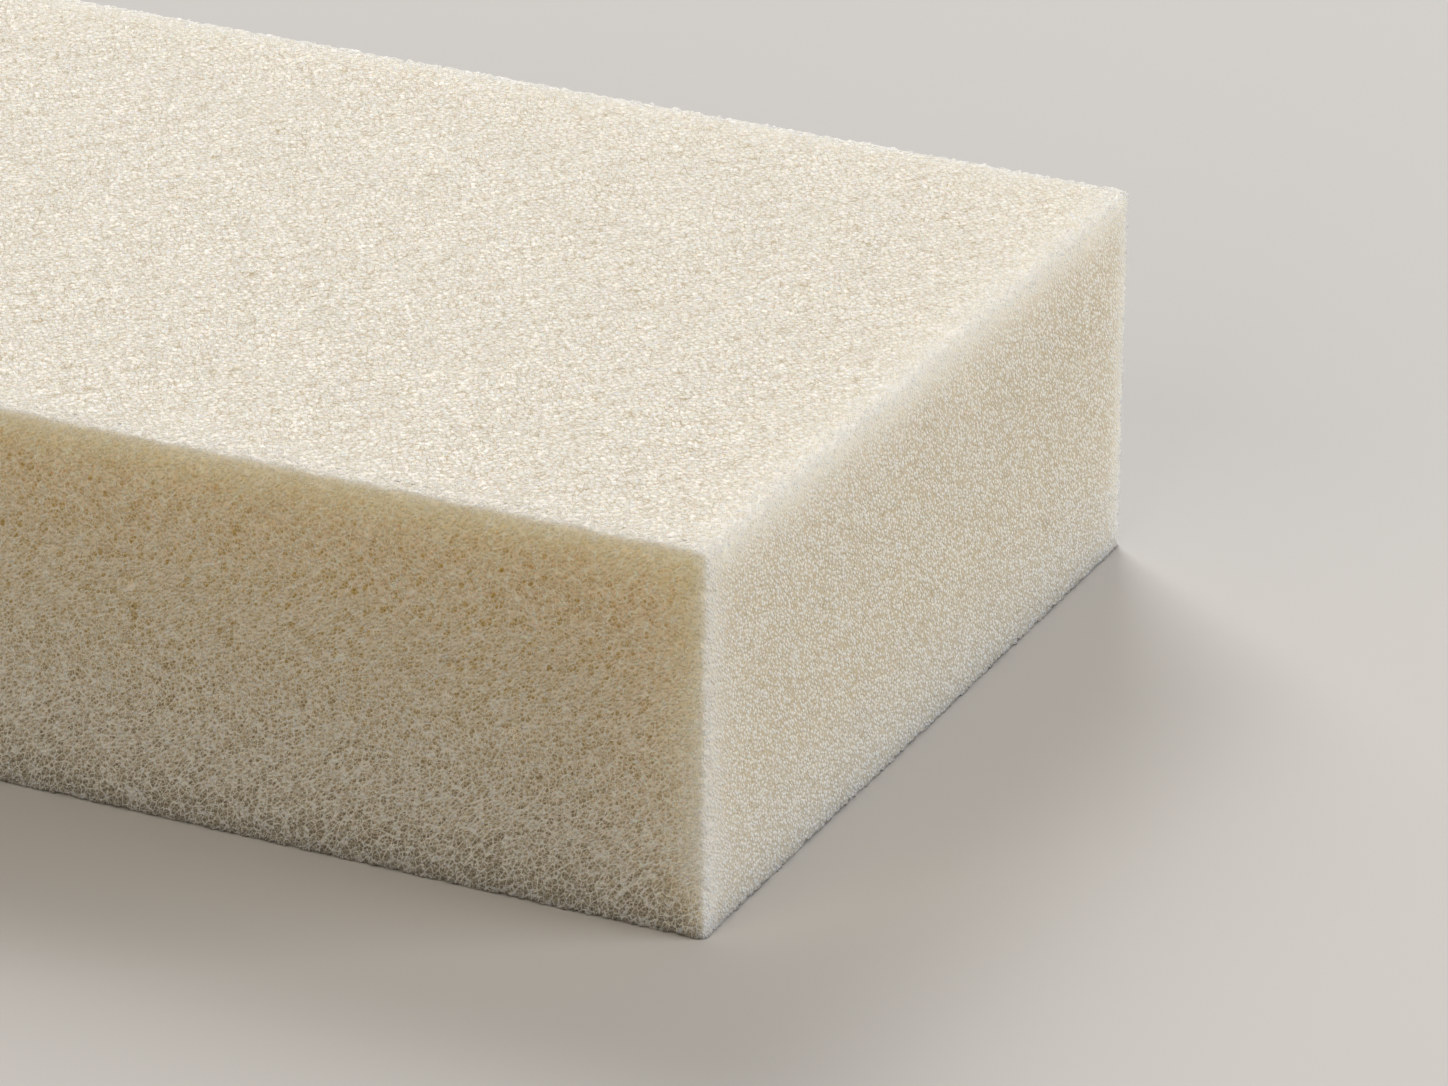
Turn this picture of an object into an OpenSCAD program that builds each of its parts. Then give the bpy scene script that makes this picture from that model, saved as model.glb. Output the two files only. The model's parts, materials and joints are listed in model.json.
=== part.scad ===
// Foam block
//
// A rectangular block of open-cell polyurethane foam, knife-cut on all six faces.
// The cut leaves the edges a little eased and opens the largest cells as round pits.
// The origin is the middle of the base, with X along the length, Y along the width
// and Z up. All sizes are in millimetres.

/* [Block] */
// Length of the block, along X
block_length = 200; // [60:5:400]
// Width of the block, along Y
block_width = 125; // [40:5:250]
// Thickness of the block, along Z
block_thickness = 50; // [20:1:120]

/* [Cut edges] */
// Radius that the knife leaves on the four upright edges
upright_edge_r = 0.8; // [0.3:0.1:3]
// Radius of the four edges that run along the length
long_edge_r = 0.8; // [0.3:0.1:3]
// Radius of the four edges that run along the width
end_edge_r = 0.8; // [0.3:0.1:3]

/* [Large open cells] */
// Mean distance from one large open cell to the next
cell_spacing = 16; // [12:1:40]
// Radius of the smallest large cell
smallest_cell_r = 0.7; // [0.4:0.05:1]
// Radius of the largest large cell
largest_cell_r = 1.2; // [1.05:0.05:1.6]
// Plain strip between the block's edges and the large cells
cell_margin = 4; // [3.5:0.5:8]
// Seed that scatters the large cells
cell_seed = 11; // [1:1:99]

/* [Hidden] */

foam_colour = "#ede3cd";
// Segments round an edge radius
edge_segments = 48;
// Segments round a cell
cell_segments = 20;
// Overlap that keeps crossing solids from sharing a face
overlap = 1;
// A cut cell is a bubble whose centre lies this share of its radius below the face:
// a negative share leaves a shallow dish, a positive one a mouth narrower than the cell
shallowest_cut = -0.5;
deepest_cut = 0.05;
// Share of the large cells that have a smaller bubble grown into their side
double_share = 0.35;
// Radius of that bubble, and the distance of its centre, as shares of the large cell's radius
side_bubble_r = 0.65;
side_bubble_reach = 0.85;
// Random numbers that each large cell uses: place (two), radius, depth, side bubble (two)
numbers_per_cell = 6;
// Each face's plane: its two extents, its distance from the block's middle and how it is turned
faces = [
    [block_length, block_width, block_thickness / 2, [0, 0, 0]],      // top
    [block_length, block_width, block_thickness / 2, [180, 0, 0]],    // base
    [block_length, block_thickness, block_width / 2, [90, 0, 0]],     // front
    [block_length, block_thickness, block_width / 2, [-90, 0, 0]],    // back
    [block_thickness, block_width, block_length / 2, [0, 90, 0]],     // right end
    [block_thickness, block_width, block_length / 2, [0, -90, 0]]     // left end
];

// Value between low and high, at share t
function between(low, high, t) = low + (high - low) * t;

// Number of large cells that fit along an extent of a face
function cells_along(extent) = max(1, floor((extent - 2 * cell_margin) / cell_spacing));

// Distance between the large cells along that extent
function cell_pitch(extent) = (extent - 2 * cell_margin) / cells_along(extent);

// Place along an extent of cell number i, shifted at random inside its own pitch
function cell_place(extent, i, t) =
    cell_margin - extent / 2 + cell_pitch(extent) * i
    + between(2 * largest_cell_r, cell_pitch(extent) - 2 * largest_cell_r, t);

// Rectangle with round corners, centred on the origin
module round_rectangle(x, y, r) {
    square([x - 2 * r, y], center = true);
    square([x, y - 2 * r], center = true);
    for (sx = [-1, 1], sy = [-1, 1])
        translate([sx * (x / 2 - r), sy * (y / 2 - r)])
            circle(r = r, $fn = edge_segments);
}

// The block as three crossing cuts leave it, centred on the origin
module cut_block() {
    intersection() {
        linear_extrude(height = block_thickness + 2 * overlap, center = true)
            round_rectangle(block_length, block_width, upright_edge_r);
        rotate([90, 0, 0])
            linear_extrude(height = block_width + 2 * overlap, center = true)
                round_rectangle(block_length, block_thickness, end_edge_r);
        rotate([0, 90, 0])
            linear_extrude(height = block_length + 2 * overlap, center = true)
                round_rectangle(block_thickness, block_width, long_edge_r);
    }
}

// One cell that the knife cut open, under a face in the XY plane: n holds its random numbers
module large_cell(n) {
    r = between(smallest_cell_r, largest_cell_r, n[2]);
    depth = r * between(shallowest_cut, deepest_cut, n[3]);
    translate([0, 0, -depth])
        sphere(r = r, $fn = cell_segments);
    if (n[4] < double_share)
        rotate(360 * n[5])
            translate([side_bubble_reach * r, 0, -depth])
                sphere(r = side_bubble_r * r, $fn = cell_segments);
}

// The large cells of one face, which lies in the XY plane and looks along Z
module face_cells(x, y, seed) {
    across = cells_along(y);
    count = cells_along(x) * across;
    random = rands(0, 1, numbers_per_cell * count, seed);
    for (k = [0 : count - 1]) {
        n = [for (m = [0 : numbers_per_cell - 1]) random[numbers_per_cell * k + m]];
        translate([cell_place(x, floor(k / across), n[0]), cell_place(y, k % across, n[1]), 0])
            large_cell(n);
    }
}

// The whole block, standing on its base
module foam_block() {
    color(foam_colour)
        translate([0, 0, block_thickness / 2])
            difference() {
                cut_block();
                for (i = [0 : len(faces) - 1])
                    rotate(faces[i][3])
                        translate([0, 0, faces[i][2]])
                            face_cells(faces[i][0], faces[i][1], cell_seed + i);
            }
}

foam_block();
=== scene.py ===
# %% [markdown]
# # A block of open-cell foam
# The block is one piece of cream polyurethane foam, sawn square from a larger bun. Up close
# it is a net of thin struts round small cells. The long sides were sawn along the direction
# in which the foam rose, so they show the cells open and stretched. The top and the ends
# look like a fine curly grain. Here and there a larger bubble leaves a pit.
#
# This lesson loads the exact block as a guide and sets up a camera, a pale floor and soft
# light. It then models the block with its loose edges and its pits, stores on the mesh what
# the material has to know about each place, and builds the foam from shader nodes.

# %% Load the exact block
import json
import math

import bpy
import numpy as np
from mathutils import Matrix, Vector
from mathutils.kdtree import KDTree

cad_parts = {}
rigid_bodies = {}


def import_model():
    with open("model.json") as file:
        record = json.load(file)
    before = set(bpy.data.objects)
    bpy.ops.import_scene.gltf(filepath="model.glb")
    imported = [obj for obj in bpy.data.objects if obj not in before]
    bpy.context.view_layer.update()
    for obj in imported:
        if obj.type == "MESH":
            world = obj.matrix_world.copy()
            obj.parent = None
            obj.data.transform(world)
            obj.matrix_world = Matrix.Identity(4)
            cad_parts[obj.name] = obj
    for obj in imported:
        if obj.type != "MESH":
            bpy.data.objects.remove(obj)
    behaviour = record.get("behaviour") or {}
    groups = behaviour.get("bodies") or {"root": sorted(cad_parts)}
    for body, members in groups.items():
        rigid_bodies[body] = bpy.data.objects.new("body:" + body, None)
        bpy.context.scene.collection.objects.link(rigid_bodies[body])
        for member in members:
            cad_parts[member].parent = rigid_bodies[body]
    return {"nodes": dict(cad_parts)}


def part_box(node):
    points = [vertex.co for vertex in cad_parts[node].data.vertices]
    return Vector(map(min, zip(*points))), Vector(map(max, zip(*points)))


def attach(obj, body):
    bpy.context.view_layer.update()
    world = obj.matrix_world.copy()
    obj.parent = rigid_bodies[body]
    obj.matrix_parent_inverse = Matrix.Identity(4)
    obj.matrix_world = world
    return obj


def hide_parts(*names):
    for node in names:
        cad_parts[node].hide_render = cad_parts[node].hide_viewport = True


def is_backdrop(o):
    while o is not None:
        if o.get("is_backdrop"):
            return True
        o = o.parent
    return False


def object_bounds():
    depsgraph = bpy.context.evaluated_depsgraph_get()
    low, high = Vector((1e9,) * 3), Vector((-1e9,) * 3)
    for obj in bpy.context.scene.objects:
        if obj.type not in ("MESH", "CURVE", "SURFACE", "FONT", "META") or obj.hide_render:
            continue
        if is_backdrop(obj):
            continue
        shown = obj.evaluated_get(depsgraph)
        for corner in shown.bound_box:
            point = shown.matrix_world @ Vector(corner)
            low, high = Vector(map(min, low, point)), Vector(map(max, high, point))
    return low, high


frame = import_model()
cad_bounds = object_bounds()
exact = frame["nodes"]["foam_block"]

MM = 0.001
block_low, block_high = (Vector(corner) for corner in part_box("foam_block"))
block_size = block_high - block_low
block_centre = (block_low + block_high) / 2
thickness = block_size.z
print("block, mm:", [round(side / MM, 2) for side in block_size])


# %% [markdown]
# ## Camera
# The camera looks down on the corner where a long side meets the right end. A long lens
# from some way off keeps parallel edges nearly parallel. The view is close, so the block
# runs out of the frame on the left. All places are worked out from the block's own corner
# and thickness, so the view follows the block if its size changes.

# %% Camera
camera_azimuth, camera_elevation, camera_roll = 25.38, 24.54, 0.44
camera_distance = 18.494 * thickness
lens_mm, sensor_mm = 196.6, 36
near_corner = Vector((block_high.x, block_low.y, block_low.z))
aim_from_corner = Vector((-0.132, 0.367, 0.850)) * thickness
aim = near_corner + aim_from_corner


def turned(azimuth, elevation, roll=0.0):
    """Rotation of a camera or lamp that looks at the block from that direction, in degrees."""
    spin = Matrix.Rotation(math.radians(azimuth), 4, "Z")
    tilt = Matrix.Rotation(math.radians(90 - elevation), 4, "X")
    return spin @ tilt @ Matrix.Rotation(math.radians(roll), 4, "Z")


camera_turn = turned(camera_azimuth, camera_elevation, camera_roll)
camera_place = aim + camera_turn @ Vector((0, 0, camera_distance))
bpy.ops.object.camera_add(location=camera_place, rotation=camera_turn.to_euler())
camera = bpy.context.object
camera.name = "camera"
camera.data.lens = lens_mm
camera.data.sensor_width = sensor_mm
camera.data.clip_start = 10 * MM
bpy.context.scene.camera = camera
bpy.context.scene.view_settings.view_transform = "Standard"
print("camera at, mm:", [round(c / MM) for c in camera_place])


# %% [markdown]
# ## Helpers for shader nodes
# A material is a tree of nodes joined by links. Building one in code is easier to read when
# each kind of node has a short function that makes it, fills its sockets with numbers or
# links, and gives back the socket that comes out.

# %% Node helpers
def new_material(name):
    """A material whose node tree holds only its output, and the tree."""
    material = bpy.data.materials.new(name)
    material.use_nodes = True
    tree = material.node_tree
    tree.nodes.clear()
    tree.nodes.new("ShaderNodeOutputMaterial").name = "Output"
    return material, tree


def feed(tree, socket, value):
    """Sets a socket to a number, colour or vector, or links another socket to it."""
    if isinstance(value, bpy.types.NodeSocket):
        tree.links.new(value, socket)
    else:
        socket.default_value = value


def math_node(tree, operation, first, second, clamp=False):
    """The result of a sum on two numbers or sockets."""
    node = tree.nodes.new("ShaderNodeMath")
    node.operation = operation
    node.use_clamp = clamp
    feed(tree, node.inputs[0], first)
    feed(tree, node.inputs[1], second)
    return node.outputs[0]


print("helpers for any node tree: new_material, feed, math_node")

# %% [markdown]
# Two more helpers do most of the work in a material. Map Range, here called ramp, turns one
# number into another with a smooth step, and can be fed by other nodes at both ends, so a
# ramp can itself change from place to place. Mix, here called blend, goes from one number to
# another by a share.

# %% Ramp and blend
def ramp(tree, value, low, high, at_low=0.0, at_high=1.0):
    """A smooth step from at_low to at_high while the value goes from low to high."""
    node = tree.nodes.new("ShaderNodeMapRange")
    node.interpolation_type = "SMOOTHSTEP"
    ends = {"Value": value, "From Min": low, "From Max": high, "To Min": at_low, "To Max": at_high}
    for name, number in ends.items():
        feed(tree, node.inputs[name], number)
    return node.outputs[0]


def blend(tree, share, first, second):
    """A mix of two numbers: the first at share 0, the second at share 1."""
    node = tree.nodes.new("ShaderNodeMix")
    node.data_type = "FLOAT"
    sockets = (node.inputs[0], node.inputs[2], node.inputs[3])
    for socket, value in zip(sockets, (share, first, second)):
        feed(tree, socket, value)
    return node.outputs[0]


print("helpers for numbers: ramp, blend")

# %% [markdown]
# ## Light for the eye and light for the block
# A pale floor would throw a lot of light on the shaded side of the block, and so would a
# pale room. The Light Path node tells which rays come from the camera, a mirror or glass.
# Only these see the pale colours. All other light meets a darker floor and a dimmer room.

# %% Which rays see the pale colours
def seen_directly(tree):
    """1 for rays from the camera, a mirror or glass, and 0 for light that is bounced."""
    path = tree.nodes.new("ShaderNodeLightPath")
    seen = math_node(tree, "ADD", path.outputs["Is Camera Ray"], path.outputs["Is Glossy Ray"])
    return math_node(tree, "ADD", seen, path.outputs["Is Transmission Ray"], clamp=True)


def mix_shaders(tree, share, first, second):
    """One shader at share 0, the other at share 1."""
    node = tree.nodes.new("ShaderNodeMixShader")
    for socket, source in zip(node.inputs, (share, first, second)):
        tree.links.new(source, socket)
    return node.outputs[0]


def coloured(tree, kind, colour):
    """A plain shader of one colour."""
    node = tree.nodes.new(kind)
    node.inputs["Color"].default_value = colour
    return node.outputs[0]


print("helpers for shaders: seen_directly, mix_shaders, coloured")

# %% [markdown]
# ## Floor
# The block lies on a plain pale floor that runs into a plain pale backdrop. A floor lit by
# lamps goes dark far away, and its far edge then shows as a line. So the floor shows its lit
# colour and the block's shadow close by, and fades into the backdrop's colour further off.

# %% Floor
backdrop_colour = (0.66, 0.63, 0.59, 1)
floor_colour = (0.62, 0.61, 0.60, 1)
floor_in_bounced_light = (0.15, 0.145, 0.14, 1)
fade_start, fade_end = 0.35, 1.1
floor_radius = 6


def pale_floor_material():
    """A matt floor that fades into the backdrop."""
    material, tree = new_material("pale_floor")
    place = tree.nodes.new("ShaderNodeTexCoord").outputs["Object"]
    distance = tree.nodes.new("ShaderNodeVectorMath")
    distance.operation = "LENGTH"
    tree.links.new(place, distance.inputs[0])
    faded = ramp(tree, distance.outputs["Value"], fade_start, fade_end)
    lit = coloured(tree, "ShaderNodeBsdfDiffuse", floor_colour)
    far_off = coloured(tree, "ShaderNodeEmission", backdrop_colour)
    seen = mix_shaders(tree, faded, lit, far_off)
    bounced = coloured(tree, "ShaderNodeBsdfDiffuse", floor_in_bounced_light)
    surface = mix_shaders(tree, seen_directly(tree), bounced, seen)
    tree.links.new(surface, tree.nodes["Output"].inputs["Surface"])
    return material


bpy.ops.object.select_all(action="DESELECT")
bpy.ops.mesh.primitive_circle_add(vertices=96, radius=floor_radius, fill_type="NGON",
                                  location=(0, 0, block_low.z))
floor = bpy.context.object
floor.name = "floor"
floor.data.materials.append(pale_floor_material())
floor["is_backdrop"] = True
print("floor fades from", fade_start, "to", fade_end, "m")

# %% [markdown]
# ## Room light
# The world is the light of the room. It shows the backdrop's colour to the same rays as the
# floor does, and lights the block with a weaker, slightly warm white.

# %% Backdrop and room light
room_light_colour = (1.0, 0.97, 0.93, 1)
room_light_strength = 0.28

world = bpy.data.worlds.new("pale_room")
world.use_nodes = True
room = world.node_tree
light_of_room = room.nodes["Background"]
light_of_room.inputs["Color"].default_value = room_light_colour
light_of_room.inputs["Strength"].default_value = room_light_strength
backdrop = coloured(room, "ShaderNodeBackground", backdrop_colour)
whole = mix_shaders(room, seen_directly(room), light_of_room.outputs[0], backdrop)
room.links.new(whole, room.nodes["World Output"].inputs["Surface"])
bpy.context.scene.world = world
print("room light:", room_light_strength)


# %% [markdown]
# ## Lamps
# Foam shows its struts only in light that comes from the side, and a face that is lit head
# on looks flat. The key lamp stands behind the block on the left and grazes the top. A
# weaker lamp stands low on the right and lights the end. A ray from the left hardly reaches
# the rounded edge between the two faces, so that edge gets no bright line. The front lies
# in the shade, and a large warm fill lamp in front lifts it a little.

# %% Lamps
def soft_lamp(name, azimuth, elevation, distance, size, power, colour):
    """A square area lamp that faces the block from that direction."""
    turn = turned(azimuth, elevation)
    place = block_centre + turn @ Vector((0, 0, distance))
    bpy.ops.object.light_add(type="AREA", location=place, rotation=turn.to_euler())
    lamp = bpy.context.object
    lamp.name = name
    lamp.data.shape = "SQUARE"
    lamp.data.size = size
    lamp.data.energy = power
    lamp.data.color = colour
    print(name, "lamp:", power, "W at", distance, "m")


daylight = (1.0, 0.99, 0.98)
lamplight = (1.0, 0.86, 0.65)
soft_lamp("key", azimuth=216, elevation=39.8, distance=2.4, size=1.2, power=40.3, colour=daylight)
soft_lamp("side", azimuth=105, elevation=15.7, distance=1.4, size=0.7, power=12.8, colour=daylight)
soft_lamp("fill", azimuth=-8, elevation=28, distance=1.5, size=1.2, power=7.7, colour=lamplight)


# %% [markdown]
# ## The body of the block
# The block could be the exact solid with a bump map, but then its edges would be knife
# sharp, and foam never has a sharp edge: the last row of cells is cut open from two sides,
# and loose struts stand out from it. So the block is modelled again, from a cube of its size
# whose edges are rounded and which is then divided into small squares that can be moved.
#
# Edges are selected in code by their place or direction. Numpy reads all the vertices at
# once, which is much quicker than a loop over them.

# %% Select in code
def select_none():
    """Leaves edit mode and deselects every object."""
    if bpy.context.object and bpy.context.object.mode != "OBJECT":
        bpy.ops.object.mode_set(mode="OBJECT")
    bpy.ops.object.select_all(action="DESELECT")


def vertex_places(mesh):
    """The places of a mesh's vertices as rows of an array."""
    places = np.empty(len(mesh.vertices) * 3)
    mesh.vertices.foreach_get("co", places)
    return places.reshape(-1, 3)


def edge_ends(mesh):
    """The two ends of every edge, as an array of edges by ends by axes."""
    ends = np.empty(len(mesh.edges) * 2, dtype=np.int32)
    mesh.edges.foreach_get("vertices", ends)
    return vertex_places(mesh)[ends.reshape(-1, 2)]


def start_selection(kind):
    """Sets the select mode and deselects the whole mesh, and leaves object mode on."""
    bpy.ops.object.mode_set(mode="EDIT")
    bpy.ops.mesh.select_mode(type=kind)
    bpy.ops.mesh.select_all(action="DESELECT")
    bpy.ops.object.mode_set(mode="OBJECT")


print("helpers for meshes: select_none, vertex_places, edge_ends, start_selection")

# %% [markdown]
# The start is a cube of the block's size. It is larger by a hair on all sides, so that the
# flat faces of the exact block lie just under its own. The edges round the base get a much
# smaller rounding than the others, because the block stands on them.

# %% A cube with rounded edges
low_corner, high_corner = np.array(block_low), np.array(block_high)
upper_rounding = 1.2 * MM
base_rounding = 0.25 * MM
lift = 0.05 * MM


def round_edges(piece, chosen, rounding, segments):
    """Rounds the chosen edges of a mesh."""
    start_selection("EDGE")
    piece.data.edges.foreach_set("select", chosen)
    bpy.ops.object.mode_set(mode="EDIT")
    bpy.ops.mesh.bevel(offset=rounding, segments=segments, profile=0.5, affect="EDGES")
    bpy.ops.object.mode_set(mode="OBJECT")


select_none()
bpy.ops.mesh.primitive_cube_add(size=1, location=block_centre,
                                scale=block_size + Vector((2, 2, 2)) * lift)
body = bpy.context.object
body.name = "foam"
bpy.ops.object.transform_apply(location=True, rotation=True, scale=True)
on_base = edge_ends(body.data)[:, :, 2].max(axis=1) < block_low.z
round_edges(body, ~on_base, upper_rounding, segments=4)
on_base = edge_ends(body.data)[:, :, 2].max(axis=1) < block_low.z
round_edges(body, on_base, base_rounding, segments=2)
print("rounded cube:", len(body.data.polygons), "faces")

# %% [markdown]
# The long straight edges are divided first, one direction after the other, which lays a grid
# of squares over all six faces. The squares next to the edges are then divided once more,
# because the loose struts there are much finer than the squares.

# %% Small squares
square = 1.3 * MM
rim_width = 1.9 * MM
nearly_zero = 1e-6


def divide_edges(piece, chosen, cuts):
    """Divides the chosen edges of a mesh, and the squares between them."""
    start_selection("EDGE")
    piece.data.edges.foreach_set("select", chosen)
    bpy.ops.object.mode_set(mode="EDIT")
    bpy.ops.mesh.subdivide(number_cuts=cuts)
    bpy.ops.object.mode_set(mode="OBJECT")


def inside(places):
    """How far places lie inside the block, across its ends, its long sides and its height."""
    return np.minimum(places - low_corner, high_corner - places)


def from_edges(places):
    """How far places on the faces lie from the nearest edge of the block."""
    return np.sort(inside(places), axis=1)[:, 1]


for axis in range(3):
    ends = edge_ends(body.data)
    run = np.abs(ends[:, 1] - ends[:, 0])
    straight = np.delete(run, axis, axis=1).max(axis=1) < nearly_zero
    cuts = round((block_size[axis] - 2 * upper_rounding) / square) - 1
    divide_edges(body, straight & (run[:, axis] > 2 * square), cuts)
print("squares:", len(body.data.polygons))

shortest_divided = 0.6 * square
ends = edge_ends(body.data)
length = np.linalg.norm(ends[:, 1] - ends[:, 0], axis=1)
at_rim = from_edges(ends.mean(axis=1)) < upper_rounding + rim_width
divide_edges(body, at_rim & (length > shortest_divided), cuts=3)
print("with fine rims:", len(body.data.polygons))


# %% [markdown]
# ## Pits of larger bubbles
# The exact block holds the pits already. The new mesh takes them over: the Shrinkwrap
# modifier drops each vertex along its normal until it meets the exact block. Squares of more
# than a millimetre would miss the shape of a pit, so those near one are divided first. A
# KD tree is a quick way to ask how far a square lies from the nearest point of a pit.

# %% Finer squares round the pits
pit_reach = 1.25 * MM
least_depth = 0.15 * MM
plain_strip = 2 * MM
one_point_in = 5
least_area = 0.4 * square ** 2

exact_places = vertex_places(exact.data)
deep = inside(exact_places).min(axis=1) > least_depth
clear_of_edges = from_edges(exact_places) > plain_strip
pit_points = exact_places[deep & clear_of_edges][::one_point_in]
pits = KDTree(len(pit_points))
for number, point in enumerate(pit_points):
    pits.insert(point, number)
pits.balance()

near_pit = [pits.find(face.center)[2] < pit_reach and face.area > least_area
            for face in body.data.polygons]
start_selection("FACE")
body.data.polygons.foreach_set("select", near_pit)
bpy.ops.object.mode_set(mode="EDIT")
bpy.ops.mesh.subdivide(number_cuts=2)
bpy.ops.object.mode_set(mode="OBJECT")
print("squares near a pit:", sum(near_pit))

# %% [markdown]
# The saw opens the pits of a long side wide. On the other faces struts lie over them, so
# there a weight below 1 in the vertex group makes the mesh go down less than half way.

# %% Drop the mesh into the pits
share_on_long_sides, share_elsewhere = 1.0, 0.45
deepest_pit = 3 * MM
flat_begins = 0.99 * upper_rounding

places = vertex_places(body.data)
depths = inside(places) + lift
on_some_face = depths.min(axis=1) < nearly_zero
on_flat = on_some_face & (np.sort(depths, axis=1)[:, 1] > flat_begins)
on_long_side = depths[:, 1] < nearly_zero
flats = body.vertex_groups.new(name="flat_faces")
flats.add(np.flatnonzero(on_flat & on_long_side).tolist(), share_on_long_sides, "ADD")
flats.add(np.flatnonzero(on_flat & ~on_long_side).tolist(), share_elsewhere, "ADD")

drop = body.modifiers.new("drop", "SHRINKWRAP")
drop.target = exact
drop.wrap_method = "PROJECT"
drop.use_negative_direction = True
drop.use_positive_direction = False
drop.project_limit = deepest_pit
drop.vertex_group = flats.name
bpy.ops.object.modifier_apply(modifier=drop.name)
on_faces = vertex_places(body.data)[on_flat]
print("deepest pit, mm:", round(inside(on_faces).min(axis=1).max() / MM, 2))


# %% [markdown]
# ## What the material has to know
# The long sides show open cells, the other faces a grain, and near an edge the colour is
# painted lighter, as painted light for the light that shines through the thin foam there.
# The material can't work that out from one point of the surface, so three numbers per vertex
# are stored on the mesh as attributes: how far a place belongs to a long side, how far it
# belongs to the top or base, and how close it is to an edge, for the painted edge light.

# %% Numbers for the material
glow_depth = 3 * MM


def belongs_to(places, axis):
    """1 on the two faces across that axis, falling smoothly to 0 over the edges."""
    depths = np.maximum(inside(places), 0) / MM
    own = depths[:, axis] ** 2
    others = np.delete(depths, axis, axis=1).min(axis=1) ** 2
    return others / (own + others + nearly_zero)


def store(piece, name, values):
    """Keeps one number per vertex for the material to read."""
    attribute = piece.data.attributes.new(name, "FLOAT", "POINT")
    attribute.data.foreach_set("value", np.asarray(values, dtype=np.float32))
    print("stored", name, "with a mean of", round(float(np.mean(values)), 3))


places = vertex_places(body.data)
depths = inside(places)
depths[:, 2] = high_corner[2] - places[:, 2]
edge_distance = np.sort(np.maximum(depths, 0), axis=1)[:, 1]
store(body, "open_cut", belongs_to(places, axis=1))
store(body, "level", belongs_to(places, axis=2))
# How close a place is to an edge sets the painted edge light in the material.
store(body, "painted_edge_glow", np.exp(-edge_distance / glow_depth))


# %% [markdown]
# ## Loose struts along the edges
# Thousands of separate little struts would look like hair and cost a lot of faces. What the
# eye sees is a ragged edge with light tips and small gaps, and a Displace modifier with a
# cell texture makes that from the fine rim squares: it pushes the surface in between the
# tips. A vertex group lets the effect fade out over the first two millimetres of each face.
# It is weaker along the base, which the weight of the block presses flat.

# %% Tufted rims
fade_width = 1.8 * MM
pressed_height = 3 * MM
levels = 5

near_edge = 1 - (from_edges(places) - upper_rounding) / fade_width
pressed = np.where(places[:, 2] - block_low.z < pressed_height, 0.5, 1.0)
steps = np.clip(np.round(levels * near_edge * pressed), 0, levels)
rim = body.vertex_groups.new(name="rim")
for step in range(1, levels + 1):
    rim.add(np.flatnonzero(steps == step).tolist(), step / levels, "ADD")


def displace(piece, name, kind, size, strength, middle, group=""):
    """Moves a piece's vertices along their normals by a texture."""
    texture = bpy.data.textures.new(name, kind)
    texture.noise_scale = size
    push = piece.modifiers.new(name, "DISPLACE")
    push.texture = texture
    push.texture_coords = "LOCAL"
    push.strength = strength
    push.mid_level = middle
    push.vertex_group = group
    bpy.ops.object.modifier_apply(modifier=name)


displace(body, "tufts", "VORONOI", size=0.75 * MM, strength=-0.8 * MM, middle=0.15, group="rim")
print("vertices in the rims:", int((steps > 0).sum()))

# %% [markdown]
# ## Faces that are not quite flat
# A wire or blade leaves foam a little uneven. A second, broad texture takes the machine-like
# flatness from the faces. The base is then set level again, because the block rests on it.

# %% Uneven faces and a level base
displace(body, "uneven", "CLOUDS", size=3.0 * MM, strength=0.15 * MM, middle=0.6)

places = vertex_places(body.data)
below = places[:, 2] < block_low.z
places[below, 2] = block_low.z
body.data.vertices.foreach_set("co", places.ravel())
body.data.update()
bpy.ops.object.shade_smooth()
triangles = sum(len(face.vertices) - 2 for face in body.data.polygons)
print("body:", triangles, "triangles")
print("reaches, mm:", np.round(places.min(axis=0) / MM, 2), np.round(places.max(axis=0) / MM, 2))


# %% [markdown]
# ## Places in the foam
# The foam is one material, built up in the next cells. Foam cells are stretched the way the
# foam rose, which here leans in from the front left. A Mapping node of type Texture turns a
# pattern to that direction and stretches it. A slow sine wave bends the pattern a little, so
# that the rows of cells don't run dead straight. Everything is measured in millimetres, from
# Object coordinates, so the pattern keeps its size and moves with the block.

# %% Bend, turn and stretch
wave_length, wave_height = 20.0, 0.6


def vector_node(tree, operation, first, second=None, third=None, scale=None):
    """The result of a sum on vectors."""
    node = tree.nodes.new("ShaderNodeVectorMath")
    node.operation = operation
    for socket, value in zip(node.inputs, (first, second, third)):
        if value is not None:
            feed(tree, socket, value)
    if scale is not None:
        node.inputs["Scale"].default_value = scale
    return node.outputs[0]


def bend(tree, in_mm):
    """The place bent by a slow wave, and its height above the base."""
    apart = tree.nodes.new("ShaderNodeSeparateXYZ")
    tree.links.new(in_mm, apart.inputs[0])
    crossed = tree.nodes.new("ShaderNodeCombineXYZ")
    for source, target in zip((2, 0, 1), crossed.inputs):
        tree.links.new(apart.outputs[source], target)
    phase = vector_node(tree, "SCALE", crossed.outputs[0], scale=2 * math.pi / wave_length)
    wave = vector_node(tree, "SINE", phase)
    return vector_node(tree, "MULTIPLY_ADD", wave, (wave_height,) * 3, in_mm), apart.outputs[2]


def stretched(tree, place, turn, stretch, shift=(0, 0, 0)):
    """The place in a pattern that is turned, shifted and stretched."""
    node = tree.nodes.new("ShaderNodeMapping")
    node.vector_type = "TEXTURE"
    node.inputs["Location"].default_value = shift
    node.inputs["Rotation"].default_value = turn
    node.inputs["Scale"].default_value = (1, 1, stretch)
    tree.links.new(place, node.inputs["Vector"])
    return node.outputs[0]


print("waves of", wave_height, "mm, every", wave_length, "mm")

# %% [markdown]
# The long cells lean one way and are four times as long as they are wide. The small beads
# lean another way and are only a little stretched. They are also shifted, so that the two
# patterns have nothing in common.

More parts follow.
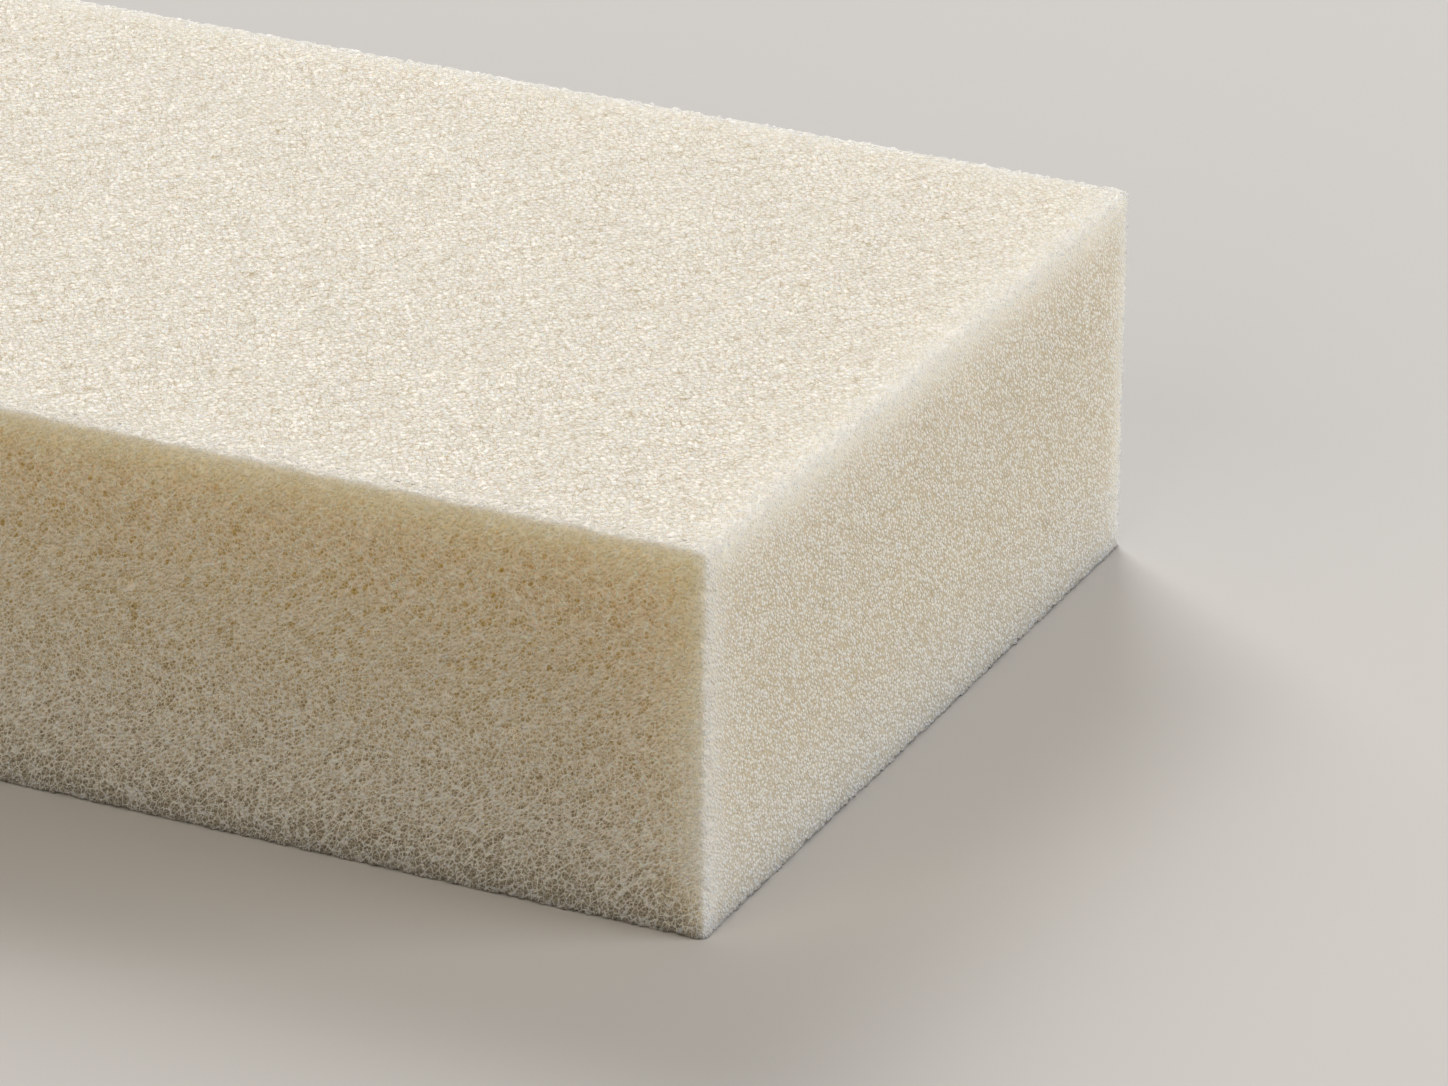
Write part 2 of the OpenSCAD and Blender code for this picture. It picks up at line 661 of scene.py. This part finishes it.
# %% Start the foam material
rise_turn = (math.radians(42), 0, math.radians(48))
bead_turn = (math.radians(50), 0, math.radians(25.5))
bead_shift = (31, 17, 43)
rise_stretch, bead_stretch = 4.0, 1.6

foam_material, foam = new_material("foam")
object_place = foam.nodes.new("ShaderNodeTexCoord").outputs["Object"]
place_in_mm = vector_node(foam, "SCALE", object_place, scale=1 / MM)
bent_place, height = bend(foam, place_in_mm)
along_rise = stretched(foam, bent_place, rise_turn, rise_stretch)
bead_place = stretched(foam, bent_place, bead_turn, bead_stretch, bead_shift)
print("places:", len(foam.nodes), "nodes")

# %% [markdown]
# ## Cells
# A Voronoi texture fills space with cells round random points, which is also how bubbles
# share space in a foam. F1 is the distance to the nearest point and F2 to the second
# nearest. Their difference falls to 0 at the wall between two cells, so a ramp on it draws
# the struts. Each cell also gets a random colour, which serves to make some holes deeper
# than others. Two sets are needed: long cells along the rise, and small beads between them.

# %% Long cells and beads
cell_size, bead_size, streak_size = 0.74, 0.42, 0.85
irregularity = 0.78


def cell_points(tree, place, size, feature):
    """A Voronoi texture with cells of about that size, in mm."""
    node = tree.nodes.new("ShaderNodeTexVoronoi")
    node.feature = feature
    node.inputs["Scale"].default_value = 1 / size
    node.inputs["Randomness"].default_value = irregularity
    tree.links.new(place, node.inputs["Vector"])
    return node.outputs


def random_number(tree, colour):
    """One number from a cell's random colour."""
    node = tree.nodes.new("ShaderNodeSeparateColor")
    tree.links.new(colour, node.inputs[0])
    return node.outputs[0]


def cells(tree, place, size):
    """How far from the wall, how far from the middle, and a random number for each cell."""
    nearest = cell_points(tree, place, size, "F1")
    second = cell_points(tree, place, size, "F2")
    to_wall = math_node(tree, "SUBTRACT", second["Distance"], nearest["Distance"])
    return to_wall, nearest["Distance"], random_number(tree, nearest["Color"])


def noise(tree, place, size):
    """A soft random pattern with spots of about that size, in mm."""
    node = tree.nodes.new("ShaderNodeTexNoise")
    node.inputs["Scale"].default_value = 1 / size
    node.inputs["Detail"].default_value = 0
    tree.links.new(place, node.inputs["Vector"])
    return node.outputs["Fac"]


cell_wall, cell_middle, cell_random = cells(foam, along_rise, cell_size)
bead_wall, bead_middle, bead_random = cells(foam, bead_place, bead_size)
streaks = noise(foam, along_rise, streak_size)
print("cells of", cell_size, "mm, beads of", bead_size, "mm")

# %% [markdown]
# ## The net of the long sides
# A long side is a net. Its look is a number from 0, deep in a hole, to 1, on a strut that
# catches the light: the holes are painted shade, the struts the foam's own pale colour,
# brightened in places as a painted highlight. Bright struts run along the walls of the long
# cells, and duller ones along the walls of the beads. The holes between them have random
# tones of painted shade. Low on the block little light comes through from behind, so painted
# shade makes the holes darker and the rows duller there, and the struts of both kinds stand
# out more. Soft streaks along the rise gather the cells into rows.

# %% Net with painted shade in its holes
low_end, high_end = 4.0, 44.0
strut_width = 0.24
# Painted shade by height: holes darker and rows duller low on the block.
lowness = ramp(foam, height, low_end, high_end, 1.0, 0.0)

brightest_strut = ramp(foam, lowness, 0.0, 1.0, 1.0, 1.12)
struts = ramp(foam, cell_wall, 0.0, strut_width, brightest_strut, 0.0)
# Painted shade in the holes, darkest low on the block.
darkest_hole_shade = ramp(foam, lowness, 0.0, 1.0, 0.22, 0.06)
palest_hole_shade = ramp(foam, lowness, 0.0, 1.0, 0.56, 0.26)
hole_tone = blend(foam, 0.55, bead_random, cell_random)
hole = ramp(foam, hole_tone, 0.15, 0.85, darkest_hole_shade, palest_hole_shade)
fine_strut_tone = ramp(foam, lowness, 0.0, 1.0, 0.60, 0.82)
fine_strut_width = ramp(foam, lowness, 0.0, 1.0, 0.30, 0.20)
fine_struts = ramp(foam, bead_wall, 0.0, fine_strut_width, fine_strut_tone, hole)

dull_row = ramp(foam, lowness, 0.0, 1.0, 0.70, 0.68)
bright_row = ramp(foam, lowness, 0.0, 1.0, 1.16, 1.02)
rows = ramp(foam, streaks, 0.25, 0.75, dull_row, bright_row)
net = math_node(foam, "MULTIPLY", math_node(foam, "MAXIMUM", struts, fine_struts), rows)
print("net: with it", len(foam.nodes), "nodes")

# %% [markdown]
# ## The grain of the other faces
# The other faces are grain. On the top the saw cut across the long cells, and each shows as
# a low mound with a narrow crease round it, darkened as painted shade. On the ends the beads
# show, finer and sharper, with painted shade between them. The number stored as level blends
# from one to the other over the edge between them.

# %% Grain
def stored(tree, name):
    """A number that was stored on the mesh."""
    node = tree.nodes.new("ShaderNodeAttribute")
    node.attribute_name = name
    return node.outputs["Fac"]


level = stored(foam, "level")
bead_rim = ramp(foam, bead_random, 0.0, 1.0, 0.50, 1.0)
bead = ramp(foam, bead_middle, 0.05, bead_rim, 1.0, 0.0)
mound_rim = ramp(foam, cell_random, 0.0, 1.0, 0.45, 0.80)
mound = ramp(foam, cell_middle, 0.12, mound_rim, 1.0, 0.0)
mound_share = ramp(foam, level, 0.0, 1.0, 0.0, 0.75)
# Painted shade between the beads and mounds.
darkest_grain_shade = ramp(foam, level, 0.0, 1.0, 0.20, 0.55)
bumps = ramp(foam, blend(foam, mound_share, bead, mound), 0.1, 0.9, darkest_grain_shade, 1.0)
# Painted shade in the creases round the mounds.
darkest_crease_shade = ramp(foam, level, 0.0, 1.0, 0.70, 0.22)
crease_width = ramp(foam, level, 0.0, 1.0, strut_width, 0.17)
crease = ramp(foam, cell_wall, 0.0, crease_width, darkest_crease_shade, 1.0)
grain = math_node(foam, "MULTIPLY", bumps, crease)

open_cut = stored(foam, "open_cut")
pattern = blend(foam, open_cut, grain, net)
print("grain: with it", len(foam.nodes), "nodes")

# %% [markdown]
# ## Painted shade in pores and the lowest rows, painted light at the edges
# Three things change the look from place to place, all of them painted light or shade.
# Scattered pores of different sizes get painted shade, darker than the cells round them.
# Close to an edge the foam is thin, so light fills its holes; there the pattern fades to an
# even pale tone as painted light. In the lowest rows of a long side nothing lights the holes
# from below, so painted shade makes them dark between pale struts. On the lit ends that
# painted shade is much weaker.

# %% Painted shade and light from place to place
pore_spacing = 1.7
lowest_rows = 12.0

pores = cell_points(foam, bead_place, pore_spacing, "F1")
pore_radius = ramp(foam, random_number(foam, pores["Color"]), 0.1, 1.0, 0.02, 0.26)
from_pore_rim = math_node(foam, "SUBTRACT", pores["Distance"], pore_radius)
in_pore = ramp(foam, from_pore_rim, -0.12, 0.08, 1.0, 0.0)
# Painted shade in the pores, deeper on the long sides.
pore_shade = ramp(foam, open_cut, 0.0, 1.0, 0.3, 0.6)
look = blend(foam, math_node(foam, "MULTIPLY", in_pore, pore_shade), pattern, 0.0)

# Painted light: near an edge the pattern fades to an even pale tone.
near_edge = math_node(foam, "MULTIPLY", stored(foam, "painted_edge_glow"), 0.85)
painted_edge_tone = ramp(foam, level, 0.0, 1.0, 0.80, 0.62)
look = blend(foam, near_edge, look, painted_edge_tone)

# Painted shade in the lowest rows: dark holes between pale struts, weaker on the ends.
darkest_low_shade = ramp(foam, open_cut, 0.0, 1.0, 0.25, 0.90)
low_shade_share = ramp(foam, height, 0.5, lowest_rows, darkest_low_shade, 0.0)
look = blend(foam, low_shade_share, look, ramp(foam, pattern, 0.36, 0.95, 0.0, 0.75))
print("pores every", pore_spacing, "mm, dark rows up to", lowest_rows, "mm")

# %% [markdown]
# ## Colour
# A colour ramp turns the look into the colour of the foam: brown deep in a hole and ochre
# just inside it, both painted shade, cream on the surface and nearly white on a strut. Light
# that has come a long way through cream foam comes out yellower, and this is painted in as a
# yellower colour. It shows on the long sides, above all near the top, and hardly on the top
# itself. Close to the base the foam is painted greyer, as painted shade. So the saturation
# of a Hue/Saturation node follows place and height.

# %% Colour of the foam
# Brown and ochre are painted shade in the holes.
foam_tones = ((0.0, (0.30, 0.25, 0.17, 1)), (0.14, (0.62, 0.52, 0.35, 1)),
              (0.42, (0.84, 0.78, 0.668, 1)), (1.0, (0.96, 0.927, 0.86, 1)))

tones = foam.nodes.new("ShaderNodeValToRGB")
marks = tones.color_ramp.elements
while len(marks) < len(foam_tones):
    marks.new(0.5)
for mark, (position, colour) in zip(marks, foam_tones):
    mark.position = position
    mark.color = colour
foam.links.new(look, tones.inputs[0])

# Painted light and shade: yellower high on the long sides, greyer near the base.
of_long_side = ramp(foam, height, 0.0, 48.0, 0.75, 2.05)
of_end = ramp(foam, height, 0.0, 20.0, 0.65, 1.0)
of_others = blend(foam, level, of_end, 0.90)
painted_light_and_shade_tint = foam.nodes.new("ShaderNodeHueSaturation")
foam.links.new(blend(foam, open_cut, of_others, of_long_side), painted_light_and_shade_tint.inputs["Saturation"])
foam.links.new(tones.outputs[0], painted_light_and_shade_tint.inputs["Color"])
print("tones:", len(marks))

# %% [markdown]
# ## Light in the foam
# The Principled shader puts it together. Light enters foam and comes out some way off, which
# makes its shadows soft and its edges glow, so subsurface scattering has a weight of about
# two thirds and a reach of a centimetre, a little longer for red than for blue. More of it
# would blur the grain. A bump on the beads gives each strut its own small shade. Bump reads
# its height three times for every point, so it gets the plain distance to the middle of a
# bead and not the whole look.

# %% Surface of the foam
bump_height = 0.25 * MM
light_reach = 12.0 * MM

bump = foam.nodes.new("ShaderNodeBump")
bump.inputs["Strength"].default_value = 1.0
bump.inputs["Distance"].default_value = bump_height
foam.links.new(ramp(foam, bead_middle, 0.1, 0.7, 1.0, 0.0), bump.inputs["Height"])

surface = foam.nodes.new("ShaderNodeBsdfPrincipled")
foam.links.new(painted_light_and_shade_tint.outputs[0], surface.inputs["Base Color"])
foam.links.new(bump.outputs[0], surface.inputs["Normal"])
surface.inputs["Roughness"].default_value = 0.45
surface.inputs["Specular IOR Level"].default_value = 0.4
surface.inputs["Subsurface Weight"].default_value = 0.65
surface.inputs["Subsurface Radius"].default_value = (1.0, 0.86, 0.66)
surface.inputs["Subsurface Scale"].default_value = light_reach
foam.links.new(surface.outputs[0], foam.nodes["Output"].inputs["Surface"])
print("foam material:", len(foam.nodes), "nodes")

# %% [markdown]
# ## Put the block together
# The body gets its material, belongs to the only body of the frame and takes the place of
# the plain solid. Foam of this kind is a full, tight pad that nothing has squeezed.

# %% Dress the block
body.data.materials.append(foam_material)
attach(body, "root")
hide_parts("foam_block")
print(body.name, "takes the place of foam_block")

# %% [markdown]
# ## The size of the block
# The modelled block may be a hair larger than the exact one where struts stand out, and no
# more. Both boxes are printed.

# %% Print both boxes and finish
visual_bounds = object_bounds()
both = [[list(map(float, corner)) for corner in box] for box in (cad_bounds, visual_bounds)]
for name, corners in zip(("exact", "modelled"), both):
    print(name, "box, mm:", [[round(c / MM, 2) for c in corner] for corner in corners])
